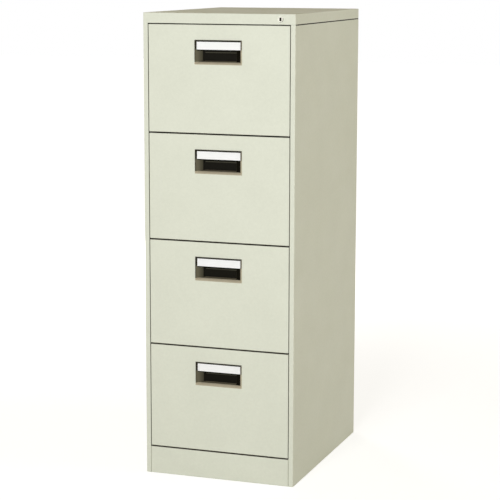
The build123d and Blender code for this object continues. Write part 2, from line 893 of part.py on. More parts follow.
# Lock guides: nylon blocks on the right panel that hold the bar upright
with BuildPart() as lock_guides:
    for number in drawer_numbers:
        with BuildSketch(Plane.XY.offset(drawer_level(number) + guide_level)):
            with Locations((panel_inner_x, strip_front_y + bar_thickness / 2)):
                Rectangle(
                    bar_side_gap + bar_width + guide_inner_wall,
                    bar_thickness + 2 * guide_wall,
                    align=(Align.MAX, Align.CENTER),
                )
            with Locations(((bar_inner_x + bar_outer_x) / 2, strip_front_y + bar_thickness / 2)):
                Rectangle(
                    bar_width + 2 * guide_bar_play,
                    bar_thickness + 2 * guide_bar_play,
                    mode=Mode.SUBTRACT,
                )
        extrude(amount=guide_height)
save(lock_guides.part, "lock_guides")
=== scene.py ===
# %% [markdown]
# # A four-drawer filing cabinet, dressed for a photograph
#
# The cabinet's pieces come ready-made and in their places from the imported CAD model, so
# this lesson is about everything that CAD leaves out: the camera, the light, the paint
# with its fine texture, the moulded handles, the zinc of the slides and the white floor.
# Every step first says what the real thing is, and then builds it.

import json
import math

import bmesh
import bpy
from mathutils import Euler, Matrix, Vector


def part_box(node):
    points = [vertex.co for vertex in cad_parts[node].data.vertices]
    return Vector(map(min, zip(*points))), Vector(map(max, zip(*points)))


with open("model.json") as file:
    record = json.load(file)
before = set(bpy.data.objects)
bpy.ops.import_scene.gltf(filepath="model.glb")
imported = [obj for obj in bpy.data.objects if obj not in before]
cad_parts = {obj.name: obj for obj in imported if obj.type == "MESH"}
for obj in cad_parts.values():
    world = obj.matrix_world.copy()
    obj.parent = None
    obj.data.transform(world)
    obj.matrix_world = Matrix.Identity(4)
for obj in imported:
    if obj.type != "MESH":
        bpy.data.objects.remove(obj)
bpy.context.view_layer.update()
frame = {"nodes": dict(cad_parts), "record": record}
nodes = frame["nodes"]

# %% [markdown]
# ## Camera
#
# The photograph was taken with a long lens from the right of the cabinet and from a
# little above its top. The place, the lens and the angles were worked out from the
# corners of the case, so the same corners land close to the same pixels. A long lens
# keeps the sides nearly parallel, which is how furniture is usually photographed.

# %% Place the camera
PICTURE_PIXELS = 500
FOCAL_PIXELS = 1706.1
CAMERA_PLACE = (1.6791, -4.7586, 1.47)
CAMERA_YAW = 19.605
CAMERA_PITCH = 9.526
CAMERA_ROLL = 0.098
SENSOR_MM = 36.0

camera_data = bpy.data.cameras.new("photo_camera")
camera = bpy.data.objects.new("photo_camera", camera_data)
bpy.context.scene.collection.objects.link(camera)
bpy.context.scene.camera = camera
camera_data.sensor_width = SENSOR_MM
camera_data.lens = FOCAL_PIXELS / PICTURE_PIXELS * SENSOR_MM
camera_data.clip_start = 0.1
camera_data.clip_end = 200.0
camera.location = CAMERA_PLACE
camera.rotation_mode = "XYZ"
camera.rotation_euler = Euler(
    (math.radians(90 - CAMERA_PITCH), 0.0, math.radians(CAMERA_YAW)), "XYZ"
)
camera.rotation_euler.rotate_axis("Z", math.radians(CAMERA_ROLL))
print("lens", round(camera_data.lens, 1), "mm at", CAMERA_PLACE)

# %% [markdown]
# ## Small helpers for node trees
#
# Materials are written as node trees. A few helpers keep the cells short: one fills a
# socket with a value or a link, one makes a node and sets its inputs, and one starts a
# material with its output and its main shader.

# %% Node helpers
def plug(tree, value, socket):
    """Fill an input socket with a plain value, or with the link that an output gives."""
    if isinstance(value, bpy.types.NodeSocket):
        tree.links.new(value, socket)
    else:
        socket.default_value = value


def add_node(tree, kind, label="", **inputs):
    """A node of that kind; keyword names are its input sockets with spaces as _."""
    node = tree.nodes.new(kind)
    node.label = label
    for name, value in inputs.items():
        plug(tree, value, node.inputs[name.replace("_", " ")])
    return node


def start_material(name, **inputs):
    """A new material with its Principled shader joined to the output."""
    material = bpy.data.materials.new(name)
    material.use_nodes = True
    tree = material.node_tree
    tree.nodes.clear()
    output = tree.nodes.new("ShaderNodeOutputMaterial")
    shader = add_node(tree, "ShaderNodeBsdfPrincipled", **inputs)
    tree.links.new(shader.outputs["BSDF"], output.inputs["Surface"])
    return material, tree, shader


print("helpers for sockets, nodes and materials are ready")

# %% [markdown]
# ## Colours as the eye picks them
#
# A colour picked on a screen is stored on a curve that follows the eye, while shaders
# add up light and need straight values. This helper turns the first kind into the second,
# by the standard curve of screens, so that colours below can be written as picked.

# %% Colour helper
def linear(red, green, blue):
    """A colour picked on a screen, 0 to 255, as the linear colour that shaders use."""
    parts = []
    for value in (red, green, blue):
        share = value / 255
        low = share / 12.92
        high = ((share + 0.055) / 1.055) ** 2.4
        parts.append(low if share <= 0.04045 else high)
    return (*parts, 1.0)


print("the middle grey of a screen is", round(linear(128, 128, 128)[0], 3), "in a shader")

# %% [markdown]
# ## Groups and mixing
#
# An effect that several materials use is a node group with named sockets. Inside one, as
# in a material, two things are mixed again and again. A Mix node keeps sockets for every
# kind of value: input 0 is the share, 2 and 3 take numbers, and 6 and 7 take colours.

# %% Group and mixing helpers
def make_group(name, inputs, outputs):
    """An empty shader node group with named sockets, and its two end nodes."""
    group = bpy.data.node_groups.new(name, "ShaderNodeTree")
    for title, kind, value in inputs:
        socket = group.interface.new_socket(title, in_out="INPUT", socket_type=kind)
        socket.default_value = value
    for title, kind in outputs:
        group.interface.new_socket(title, in_out="OUTPUT", socket_type=kind)
    start = group.nodes.new("NodeGroupInput")
    end = group.nodes.new("NodeGroupOutput")
    return group, start, end


def mix_numbers(tree, share, first, second):
    """Between two numbers, each a link or a value; returns the output."""
    node = tree.nodes.new("ShaderNodeMix")
    for index, value in ((0, share), (2, first), (3, second)):
        plug(tree, value, node.inputs[index])
    return node.outputs[0]


def mix_colours(tree, mask, first, second, blend="MIX"):
    """Between two colours, each a link or a value, by a mask; returns the output."""
    node = tree.nodes.new("ShaderNodeMix")
    node.data_type = "RGBA"
    node.blend_type = blend
    for index, value in ((0, mask), (6, first), (7, second)):
        plug(tree, value, node.inputs[index])
    return node.outputs[2]


print("helpers for groups and mixing are ready")

# %% [markdown]
# ## Mottled colour
#
# No paint, plastic or plating has one even colour: thickness, dust and handling change
# it by a few percent from place to place. This group mixes a light and a dark shade by
# two noises, a wide one for the drift over a whole panel and a fine one for the grain.
# It reads object coordinates, so the pattern stays on the piece when the piece moves.

# %% Mottle group
def make_mottle_group():
    """A colour between two shades, by a wide and a fine noise."""
    group, start, end = make_group(
        "mottle",
        [
            ("Light Colour", "NodeSocketColor", (0.8, 0.8, 0.8, 1.0)),
            ("Dark Colour", "NodeSocketColor", (0.7, 0.7, 0.7, 1.0)),
            ("Wide Scale", "NodeSocketFloat", 3.0),
            ("Fine Scale", "NodeSocketFloat", 120.0),
            ("Fine Share", "NodeSocketFloat", 0.5),
        ],
        [("Colour", "NodeSocketColor")],
    )
    given = start.outputs
    place = group.nodes.new("ShaderNodeTexCoord").outputs["Object"]
    wide = add_node(
        group,
        "ShaderNodeTexNoise",
        "drift over the panel",
        Vector=place,
        Scale=given["Wide Scale"],
        Detail=3.0,
    )
    fine = add_node(
        group,
        "ShaderNodeTexNoise",
        "grain",
        Vector=place,
        Scale=given["Fine Scale"],
        Detail=4.0,
        Roughness=0.6,
    )
    noise = mix_numbers(group, given["Fine Share"], wide.outputs["Fac"], fine.outputs["Fac"])
    spread = add_node(
        group,
        "ShaderNodeMapRange",
        "use the noise's whole range",
        Value=noise,
        From_Min=0.3,
        From_Max=0.7,
    )
    colour = mix_colours(
        group, spread.outputs["Result"], given["Dark Colour"], given["Light Colour"]
    )
    group.links.new(colour, end.inputs["Colour"])
    return group


mottle_group = make_mottle_group()
print("mottle group has", len(mottle_group.nodes), "nodes")

# %% [markdown]
# ## Skin of a sprayed or moulded surface
#
# Sprayed paint dries with a fine swell, like the peel of an orange, and moulded plastic
# copies the grain of its tool. Both are low bumps a millimetre or two wide. This group
# puts out their height only, so each material chooses how deep they are in its own Bump
# node.

# %% Skin group
def make_skin_group():
    """The height of a fine swell with grain on it."""
    group, start, end = make_group(
        "skin",
        [
            ("Swell Scale", "NodeSocketFloat", 600.0),
            ("Grain Scale", "NodeSocketFloat", 2200.0),
            ("Grain Share", "NodeSocketFloat", 0.3),
        ],
        [("Height", "NodeSocketFloat")],
    )
    given = start.outputs
    place = group.nodes.new("ShaderNodeTexCoord").outputs["Object"]
    swell = add_node(group, "ShaderNodeTexVoronoi", "swell between the droplets")
    swell.feature = "SMOOTH_F1"
    plug(group, place, swell.inputs["Vector"])
    plug(group, given["Swell Scale"], swell.inputs["Scale"])
    grain = add_node(
        group, "ShaderNodeTexNoise", "grain", Vector=place, Scale=given["Grain Scale"], Detail=2.0
    )
    height = mix_numbers(
        group, given["Grain Share"], swell.outputs["Distance"], grain.outputs["Fac"]
    )
    group.links.new(height, end.inputs["Height"])
    return group


skin_group = make_skin_group()
print("skin group has", len(skin_group.nodes), "nodes")

# %% [markdown]
# ## Uneven gloss
#
# A clean painted panel still has dull and shiny places, from wiping, hands and the spray
# itself. The eye reads them as a real surface long before it sees any colour change. This
# group stretches one noise along a wiping direction, adds a second one for smudges, and
# puts out a roughness between two values.

# %% Gloss group
WIPE_STRETCH = (0.25, 0.25, 1.0)
SMUDGE_SHARE = 0.5


def make_gloss_group():
    """A roughness between shiny and dull, by wiping marks and smudges."""
    group, start, end = make_group(
        "gloss",
        [
            ("Shiny", "NodeSocketFloat", 0.35),
            ("Dull", "NodeSocketFloat", 0.5),
            ("Smudge Scale", "NodeSocketFloat", 9.0),
            ("Wipe Scale", "NodeSocketFloat", 30.0),
        ],
        [("Roughness", "NodeSocketFloat")],
    )
    given = start.outputs
    place = group.nodes.new("ShaderNodeTexCoord").outputs["Object"]
    wiped = add_node(group, "ShaderNodeMapping", Vector=place, Scale=WIPE_STRETCH)
    wipe = add_node(
        group,
        "ShaderNodeTexNoise",
        "wiping marks",
        Vector=wiped.outputs["Vector"],
        Scale=given["Wipe Scale"],
        Detail=2.0,
    )
    smudge = add_node(
        group,
        "ShaderNodeTexNoise",
        "smudges",
        Vector=place,
        Scale=given["Smudge Scale"],
        Detail=3.0,
        Distortion=0.6,
    )
    marks = mix_numbers(group, SMUDGE_SHARE, wipe.outputs["Fac"], smudge.outputs["Fac"])
    spread = add_node(
        group,
        "ShaderNodeMapRange",
        "between shiny and dull",
        Value=marks,
        From_Min=0.35,
        From_Max=0.65,
        To_Min=given["Shiny"],
        To_Max=given["Dull"],
    )
    group.links.new(spread.outputs["Result"], end.inputs["Roughness"])
    return group


gloss_group = make_gloss_group()
print("gloss group has", len(gloss_group.nodes), "nodes")

# %% [markdown]
# ## One way to put the groups together
#
# Every finish below is the same recipe with other values: mottled colour, uneven gloss
# and a skin. The recipe places the three groups in a material and joins them to its
# shader. What differs in kind, such as the handle's two colours, is added afterwards.

# %% Finish recipe
def place_group(tree, group, **inputs):
    """A copy of a group in a material's tree; keywords are its sockets with spaces as _."""
    node = tree.nodes.new("ShaderNodeGroup")
    node.node_tree = group
    for name, value in inputs.items():
        node.inputs[name.replace("_", " ")].default_value = value
    return node


def add_bump(tree, shader, height, depth):
    """A bump of that depth in metres on the shader."""
    bump = add_node(tree, "ShaderNodeBump", Height=height, Strength=1.0, Distance=depth)
    tree.links.new(bump.outputs["Normal"], shader.inputs["Normal"])


def make_finish(name, colours, gloss, skin, depth, **shader_inputs):
    """A material with mottled colour, uneven gloss and a skin of that depth in metres."""
    material, tree, shader = start_material(name, **shader_inputs)
    colour = place_group(tree, mottle_group, **colours).outputs["Colour"]
    tree.links.new(colour, shader.inputs["Base Color"])
    shine = place_group(tree, gloss_group, **gloss)
    tree.links.new(shine.outputs["Roughness"], shader.inputs["Roughness"])
    surface = place_group(tree, skin_group, **skin)
    add_bump(tree, shader, surface.outputs["Height"], depth)
    return material, tree, shader, colour


finishes = {}
print("the recipe joins", [group.name for group in (mottle_group, gloss_group, skin_group)])

# %% [markdown]
# ## Masks from places
#
# Some finishes change at a place on the piece: behind the frame of the handle, around the
# keyhole, in a seam. A mask for that is a little arithmetic on the object coordinates. The
# helpers below write it: one does a sum on links or numbers, one asks whether a value lies
# between two others, one fades from 0 to 1, two join masks into one, one turns a mask
# round, and one reads the coordinates.

# %% Mask helpers
def math_node(tree, operation, *values):
    """A math node on links or numbers; returns its output."""
    node = tree.nodes.new("ShaderNodeMath")
    node.operation = operation
    for value, socket in zip(values, node.inputs):
        plug(tree, value, socket)
    return node.outputs[0]


def between(tree, value, low, high):
    """1 where the value lies between low and high."""
    return math_node(tree, "COMPARE", value, (low + high) / 2, (high - low) / 2)


def fade(tree, value, start, end):
    """0 up to one value, 1 from the other, and smooth between them."""
    node = add_node(tree, "ShaderNodeMapRange")
    node.interpolation_type = "SMOOTHSTEP"
    plug(tree, value, node.inputs["Value"])
    plug(tree, start, node.inputs["From Min"])
    plug(tree, end, node.inputs["From Max"])
    return node.outputs["Result"]


def both(tree, *masks):
    """The masks multiplied: 1 only where all of them are."""
    product = masks[0]
    for mask in masks[1:]:
        product = math_node(tree, "MULTIPLY", product, mask)
    return product


def either(tree, *masks):
    """The largest of the masks: 1 where one of them is."""
    largest = masks[0]
    for mask in masks[1:]:
        largest = math_node(tree, "MAXIMUM", largest, mask)
    return largest


def opposite(tree, mask):
    """1 where the mask is 0, and 0 where it is 1."""
    return math_node(tree, "SUBTRACT", 1.0, mask)


def object_axes(tree):
    """The object coordinates, as three outputs."""
    place = tree.nodes.new("ShaderNodeTexCoord").outputs["Object"]
    return add_node(tree, "ShaderNodeSeparateXYZ", Vector=place).outputs


print("helpers for masks are ready")

# %% [markdown]
# ## Paint
#
# The case and the drawers are sprayed in one stone-grey enamel, semi-gloss, with a light
# mottle that shows even from across a room. The drawers are a touch lighter than the case
# because they hang in the spray booth separately and come out a little thicker. The file
# followers get a darker grey from another line. The rails between the drawers have only
# the dull black primer.

# %% Paint recipe, follower paint and primer
PAINT_SKIN = {"Swell_Scale": 620.0, "Grain_Scale": 2400.0, "Grain_Share": 0.35}
PAINT_GLOSS = {"Shiny": 0.48, "Dull": 0.62, "Smudge_Scale": 7.0, "Wipe_Scale": 26.0}
PAINT_GRAIN = {"Wide_Scale": 9.0, "Fine_Scale": 150.0, "Fine_Share": 0.6}
PAINT_SHEEN = 0.2
PAINT_SKIN_DEPTH = 0.00006
# The black primer of the rails, which also paints the shade in the seam under the cap.
PRIMER_AND_SEAM_SHADE = linear(34, 29, 22)
THIN_PRIMER = linear(26, 22, 17)


def make_paint(name, light, dark):
    """Sprayed enamel between two shades, with the parts of its recipe."""
    colours = {"Light_Colour": light, "Dark_Colour": dark, **PAINT_GRAIN}
    return make_finish(
        name, colours, PAINT_GLOSS, PAINT_SKIN, PAINT_SKIN_DEPTH, Specular_IOR_Level=PAINT_SHEEN
    )


finishes["follower_paint"] = make_paint(
    "follower_paint", linear(150, 150, 142), linear(138, 138, 130)
)[0]
finishes["rail_primer"] = make_paint("rail_primer", PRIMER_AND_SEAM_SHADE, THIN_PRIMER)[0]
print("paints", sorted(finishes))

# %% [markdown]
# ## Shade in the gaps
#
# From about a millimetre behind the front, the folded edges of the drawers, the stiles and
# the plinth are painted a dark brown and made rough, as painted shade, so that each gap is
# a dark line; on the flanks of the fronts this painted shade is weaker. A group makes the
# mask, because the case and the drawers both use it, with other depths.

# %% Painted shade in the gaps
EDGE_START = 0.0005
EDGE_END = 0.0018
FLANK_SHEET = 0.0015
FLANK_SHADE_CUT = 0.4
PLINTH_MARGIN = 0.0003

front_low, front_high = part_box("drawer_1_front")
case_low, case_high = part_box("top_cap")
plinth_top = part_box("plinth")[1].z


def make_gap_shade_group():
    """A mask of painted shade on the folded edges behind the front, between the plinth and the
    header.
    """
    group, start, end = make_group(
        "gap_shade_edges", [("Reach", "NodeSocketFloat", 0.02)], [("Shaded Gaps", "NodeSocketFloat")]
    )
    x, y, z = object_axes(group)
    behind = math_node(group, "SUBTRACT", y, front_low.y)
    in_gaps = both(
        group,
        fade(group, behind, EDGE_START, EDGE_END),
        math_node(group, "LESS_THAN", behind, start.outputs["Reach"]),
        between(group, x, case_low.x + FLANK_SHEET, case_high.x - FLANK_SHEET),
        between(group, z, plinth_top - PLINTH_MARGIN, case_low.z + EDGE_START),
    )
    sideways = math_node(group, "ABSOLUTE", x)
    # On the flanks of the fronts the painted shade is weaker.
    flank = between(group, sideways, front_high.x - FLANK_SHEET, front_high.x + EDGE_START)
    weaker_on_flank = math_node(group, "MULTIPLY", flank, FLANK_SHADE_CUT)
    shaded = both(group, in_gaps, opposite(group, weaker_on_flank))
    group.links.new(shaded, end.inputs["Shaded Gaps"])
    return group


gap_shade_group = make_gap_shade_group()
print("bare edges group has", len(gap_shade_group.nodes), "nodes")

# %% Drawer paint
# The dark brown and the roughness of the painted shade in the gaps.
GAP_SHADE = linear(86, 78, 64)
DRAWER_REACH = 0.0215
SHADED_ROUGHNESS = 0.95


def dull_where_shaded(tree, shader, mask):
    """Rough where the mask is 1, and the paint's own roughness elsewhere."""
    painted = shader.inputs["Roughness"].links[0].from_socket
    shaded = math_node(tree, "MULTIPLY", mask, SHADED_ROUGHNESS)
    roughness = math_node(tree, "MAXIMUM", painted, shaded)
    tree.links.new(roughness, shader.inputs["Roughness"])


finishes["drawer_paint"], tree, shader, colour = make_paint(
    "drawer_paint", linear(227, 229, 211), linear(220, 222, 204)
)
# Painted shade: the folded edges in the gaps are dark brown and rough.
shaded = place_group(tree, gap_shade_group, Reach=DRAWER_REACH).outputs["Shaded Gaps"]
drawer_colour = mix_colours(tree, shaded, colour, GAP_SHADE)
tree.links.new(drawer_colour, shader.inputs["Base Color"])
dull_where_shaded(tree, shader, shaded)
print("the drawers are bare up to", DRAWER_REACH, "m behind the front")

# %% [markdown]
# ## Case
#
# The case gets the same painted shade in its gaps. The seam under the cap, where the tongue
# of each side panel shows, is painted with the black primer as painted shade, a little
# above and below too. The top of the cap is painted a little darker and warmer, as painted
# shade.

# %% Case paint, with painted shade in the seam under the cap
CASE_REACH = 0.03
SEAM_HEIGHT = 0.0025
SEAM_SHADE_ABOVE = 0.0005
STILE_DEPTH = 0.004
PAINTED_TOP_SHADE = (0.93, 0.895, 0.79, 1.0)
TOP_MARGIN = 0.0001

finishes["case_paint"], tree, shader, colour = make_paint(
    "case_paint", linear(226, 228, 210), linear(219, 221, 203)
)
_, y, z = object_axes(tree)
# Painted shade: the seam under the cap, with a thin band above and below it, takes the black
# primer.
in_seam = both(
    tree,
    between(tree, z, case_low.z - SEAM_HEIGHT, case_low.z + SEAM_SHADE_ABOVE),
    math_node(tree, "GREATER_THAN", y, front_low.y + STILE_DEPTH),
)
# Painted shade in the gaps, as on the drawers.
shaded = place_group(tree, gap_shade_group, Reach=CASE_REACH).outputs["Shaded Gaps"]
# Painted shade: the top face of the cap is a little darker and warmer.
on_top = math_node(tree, "GREATER_THAN", z, case_high.z - TOP_MARGIN)
case_colour = mix_colours(tree, on_top, colour, PAINTED_TOP_SHADE, blend="MULTIPLY")
case_colour = mix_colours(tree, shaded, case_colour, GAP_SHADE)
case_colour = mix_colours(tree, in_seam, case_colour, PRIMER_AND_SEAM_SHADE)
tree.links.new(case_colour, shader.inputs["Base Color"])
dull_where_shaded(tree, shader, either(tree, in_seam, shaded))
print("seam under the cap at", round(case_low.z, 4))

# %% [markdown]
# ## Handle plastic
#
# The handle is one moulding in dark brown plastic, with its light and shade painted on.
# Its bottom lip and the lower half of its right side are painted light beige, as painted
# highlights, and its left side and the left wall of the recess a middle brown, as painted
# light, darker the deeper it lies. The floor of the recess is painted lighter than its back
# wall, as painted light. The back of the recess is painted nearly black, as painted shade,
# and so are its right wall, its corners and the places under its ledge and under the card,
# while the ledge gets a thin lighter line, a painted highlight. Each of these is a mask, and
# the masks are written in the frame of one handle: the drawers repeat at one pitch, so the
# height is wrapped at that pitch, and all four handles share the material.

# %% Where a point lies on its handle
top_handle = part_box("drawer_1_handle")
next_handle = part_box("drawer_2_handle")
top_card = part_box("drawer_1_label_card")
handle_pitch = top_handle[0].z - next_handle[0].z
handle_width = top_handle[1].x - top_handle[0].x
handle_height = top_handle[1].z - top_handle[0].z
card_low = top_card[0].z - top_handle[0].z
plate_y = top_card[1].y


def handle_places(tree):
    """How high and how deep behind the card's plate a point of a handle lies, in metres."""
    x, y, z = object_axes(tree)
    above_lowest = math_node(tree, "SUBTRACT", z, top_handle[0].z)
    height = math_node(tree, "WRAP", above_lowest, handle_pitch / 2, -handle_pitch / 2)
    depth = math_node(tree, "SUBTRACT", y, plate_y)
    return x, height, depth


print("handle", round(handle_width, 4), "by", round(handle_height, 4), "pitch", handle_pitch)
print("card starts", round(card_low, 4), "above the handle's foot")

# %% Where light is painted on the handle
LIP_TOP = 0.0068
WALL_X = 0.0485
OUTLINE = 0.0018
CARD_FADE = (0.004, -0.003)
BESIDE_CARD = 0.3


def painted_light_masks(tree, x, height, behind, deep):
    """Masks for the painted light: the left side in brown, and the lip and the low right in
    beige.
    """
    from_left = math_node(tree, "ADD", x, handle_width / 2)
    from_right = math_node(tree, "SUBTRACT", handle_width / 2, x)
    from_top = math_node(tree, "SUBTRACT", handle_height, height)
    below_card = fade(tree, height, card_low + CARD_FADE[0], card_low + CARD_FADE[1])
    # Painted light on the left side and the left wall, below the card.
    left_side = both(
        tree,
        math_node(tree, "LESS_THAN", x, -WALL_X),
        math_node(tree, "GREATER_THAN", from_left, OUTLINE),
        below_card,
    )
    # Painted highlights on the low right of the frame and on the lip.
    low_and_right = math_node(
        tree,
        "LESS_THAN",
        math_node(tree, "MINIMUM", height, from_right),
        math_node(tree, "MINIMUM", from_top, from_left),
    )
    below_card_share = math_node(tree, "MAXIMUM", below_card, BESIDE_CARD)
    frame_side = both(tree, low_and_right, opposite(tree, behind), below_card_share)
    lip = both(tree, math_node(tree, "LESS_THAN", height, LIP_TOP), opposite(tree, deep))
    return left_side, either(tree, frame_side, lip)


print("the lip is", round(LIP_TOP * 1000, 1), "mm high")

# %% Where shade is painted on the handle
DARK_WALL_X = 0.0492
CORNER_X = 0.0453
LEDGE_Z = 0.032
LEDGE_LINE = (-0.0003, 0.0021)
LEDGE_SHADE = (-0.0035, -0.0004)
CARD_SHADOW = 0.0032
CARD_SHADOW_DEPTH = 0.0005


def dark_masks(tree, x, height, depth, behind, deep, in_pocket):
    """Masks for the painted shade in the recess, and for the painted highlight on its ledge."""
    ledge = both(
        tree,
        between(tree, height, LEDGE_Z + LEDGE_LINE[0], LEDGE_Z + LEDGE_LINE[1]),
        in_pocket,
    )
    # Painted shade under the ledge, and a painted shadow under the card.
    under_ledge = between(tree, height, LEDGE_Z + LEDGE_SHADE[0], LEDGE_Z + LEDGE_SHADE[1])
    under_card = both(
        tree,
        math_node(tree, "GREATER_THAN", height, card_low - CARD_SHADOW),
        math_node(tree, "GREATER_THAN", depth, CARD_SHADOW_DEPTH),
    )
    # Painted shade: the right wall, the left corner, the back of the pocket, under the ledge and
    # under the card.
    recess_shade = either(
        tree,
        both(tree, math_node(tree, "GREATER_THAN", x, DARK_WALL_X), behind),
        both(tree, math_node(tree, "LESS_THAN", x, -CORNER_X), deep),
        both(tree, in_pocket, opposite(tree, ledge)),
        both(tree, under_ledge, deep),
        under_card,
    )
    return recess_shade, ledge


print("the ledge is", round(LEDGE_Z * 1000, 1), "mm above the handle's foot")

# %% Handle light and shade group
BACK_DEPTH = 0.0138
BACK_FADE = (0.003, 0.001)
POCKET_MARGIN = 0.0002
PLATE_MARGIN = 0.0001
FLOOR_FADE = (0.018, 0.008)


def make_handle_shading_group():
    """Masks for the painted light, the painted shade, the ledge's painted highlight, and how deep
    a point lies.
    """
    titles = ("Behind", "Depth", "Floor", "Brown", "Painted Light", "Recess Shade", "Ledge")
    group, _, end = make_group(
        "handle_light_and_shade", [], [(title, "NodeSocketFloat") for title in titles]
    )
    x, height, depth = handle_places(group)
    behind = math_node(group, "GREATER_THAN", depth, -PLATE_MARGIN)
    deep = fade(group, depth, BACK_DEPTH - BACK_FADE[0], BACK_DEPTH - BACK_FADE[1])
    in_pocket = math_node(group, "GREATER_THAN", depth, BACK_DEPTH - POCKET_MARGIN)
    floor = fade(group, height, *FLOOR_FADE)
    brown, painted_light = painted_light_masks(group, x, height, behind, deep)
    recess_shade, ledge = dark_masks(group, x, height, depth, behind, deep, in_pocket)
    results = (behind, depth, floor, brown, painted_light, recess_shade, ledge)
    for title, result in zip(titles, results):
        group.links.new(result, end.inputs[title])
    return group


handle_shading_group = make_handle_shading_group()
print("handle wear group has", len(handle_shading_group.nodes), "nodes")

# %% Handle plastic material
HANDLE_SHEEN = 0.06
HANDLE_GRAIN_DEPTH = 0.00004
BROWN_START = -0.004
# Colours of the painted light and shade on the handle: the brown sides, the back and floor of the
# recess, the ledge's line and the deep shade.
OUTER_BROWN = linear(112, 107, 88)
INNER_BROWN = linear(70, 67, 53)
BACK_WALL = linear(65, 61, 46)
BACK_FLOOR = linear(94, 88, 72)
LEDGE_EDGE = linear(70, 67, 54)
DEEP_SHADE = linear(16, 14, 6)

finishes["handle_plastic"], tree, shader, colour = make_finish(
    "handle_plastic",
    {
        "Light_Colour": linear(54, 51, 41),
        "Dark_Colour": linear(43, 40, 32),
        "Wide_Scale": 20.0,
        "Fine_Scale": 420.0,
        "Fine_Share": 0.5,
    },
    {"Shiny": 0.42, "Dull": 0.60, "Smudge_Scale": 40.0, "Wipe_Scale": 120.0},
    {"Swell_Scale": 1500.0, "Grain_Scale": 4200.0, "Grain_Share": 0.6},
    HANDLE_GRAIN_DEPTH,
    Specular_IOR_Level=HANDLE_SHEEN,
)
# The beige of the painted highlights on the lip and the low right of the frame.
beige = place_group(
    tree,
    mottle_group,
    Light_Colour=linear(199, 189, 164),
    Dark_Colour=linear(181, 171, 147),
    Wide_Scale=30.0,
    Fine_Scale=300.0,
    Fine_Share=0.5,
).outputs["Colour"]
shading = place_group(tree, handle_shading_group).outputs
# Painted shade: the brown is darker the deeper it lies.
inward = fade(tree, shading["Depth"], BROWN_START, BACK_DEPTH)
brown = mix_colours(tree, inward, OUTER_BROWN, INNER_BROWN)
# Painted light: the floor of the recess is lighter than its back wall.
back = mix_colours(tree, shading["Floor"], BACK_WALL, BACK_FLOOR)
handle_colour = mix_colours(tree, shading["Behind"], colour, back)
# Painted highlight: a thin lighter line on the ledge.
handle_colour = mix_colours(tree, shading["Ledge"], handle_colour, LEDGE_EDGE)
# Painted light: the left side and the left wall are brown.
handle_colour = mix_colours(tree, shading["Brown"], handle_colour, brown)
# Painted shade: near black in the back, on the right wall, in the corners and under the ledge and
# the card.
handle_colour = mix_colours(tree, shading["Recess Shade"], handle_colour, DEEP_SHADE)
# Painted highlights: the lip and the low right of the frame are beige.
handle_colour = mix_colours(tree, shading["Painted Light"], handle_colour, beige)
tree.links.new(handle_colour, shader.inputs["Base Color"])
print("handle plastic has", len(tree.nodes), "nodes")

# %% [markdown]
# ## Card
#
# Each handle holds a blank index card. Uncoated card is nearly white, quite dull, and
# shows its fibres as a very fine cloudy grain.

# %% Card material
CARD_SHEEN = 0.2
FIBRE_DEPTH = 0.00002

finishes["card_paper"] = make_finish(
    "card_paper",
    {
        "Light_Colour": linear(253, 253, 251),
        "Dark_Colour": linear(246, 246, 242),
        "Wide_Scale": 60.0,
        "Fine_Scale": 900.0,
        "Fine_Share": 0.6,
    },
    {"Shiny": 0.75, "Dull": 0.9, "Smudge_Scale": 60.0, "Wipe_Scale": 200.0},
    {"Swell_Scale": 2600.0, "Grain_Scale": 6000.0, "Grain_Share": 0.7},
    FIBRE_DEPTH,
    Specular_IOR_Level=CARD_SHEEN,
)[0]
print("cards are", round((top_card[1].x - top_card[0].x) * 1000), "mm wide")

# %% [markdown]
# ## Zinc, steel and chrome
#
# The slides, the uprights and the lock bar are zinc plated: a soft grey metal with a
# faint cloudy crystal pattern and a brushed gloss. The screws are the same zinc, brighter.
# The lock is polished chrome, turned on a lathe, so its face has very fine rings about
# the lock's own axis. The keyhole is painted dark, as painted shade in the slot, and the
# dark reaches a little rim around it; the low right of the bevel is painted darker, as a
# painted shadow of the ring.

# %% Zinc and screw materials
ZINC_SKIN = {"Swell_Scale": 900.0, "Grain_Scale": 3000.0, "Grain_Share": 0.5}
ZINC_GRAIN = {"Wide_Scale": 45.0, "Fine_Scale": 260.0, "Fine_Share": 0.5}
ZINC_GRAIN_DEPTH = 0.00002


def make_zinc(name, light, dark, shiny, dull):
    """Plated steel between two shades and two kinds of gloss."""
    colours = {"Light_Colour": light, "Dark_Colour": dark, **ZINC_GRAIN}
    gloss = {"Shiny": shiny, "Dull": dull, "Smudge_Scale": 25.0, "Wipe_Scale": 90.0}
    return make_finish(name, colours, gloss, ZINC_SKIN, ZINC_GRAIN_DEPTH, Metallic=1.0)[0]


finishes["galvanised_steel"] = make_zinc(
    "galvanised_steel", linear(205, 208, 210), linear(178, 182, 186), shiny=0.28, dull=0.45
)
finishes["screw_steel"] = make_zinc(
    "screw_steel", linear(206, 206, 204), linear(188, 188, 184), shiny=0.22, dull=0.35
)
print("plated steels", sorted(name for name in finishes if name.endswith("steel")))

# %% Lock chrome
CHROME_LIGHT = linear(222, 221, 208)
CHROME_DARK = linear(208, 207, 194)
RING_PITCH = 0.00035
RING_DEPTH = 0.000004

chrome, tree, shader = start_material("lock_chrome", Metallic=1.0)
finishes["lock_chrome"] = chrome
polished = place_group(
    tree,
    mottle_group,
    Light_Colour=CHROME_LIGHT,
    Dark_Colour=CHROME_DARK,
    Wide_Scale=80.0,
    Fine_Scale=700.0,
    Fine_Share=0.5,
).outputs["Colour"]
shine = place_group(
    tree, gloss_group, Shiny=0.16, Dull=0.3, Smudge_Scale=90.0, Wipe_Scale=300.0
)
tree.links.new(shine.outputs["Roughness"], shader.inputs["Roughness"])

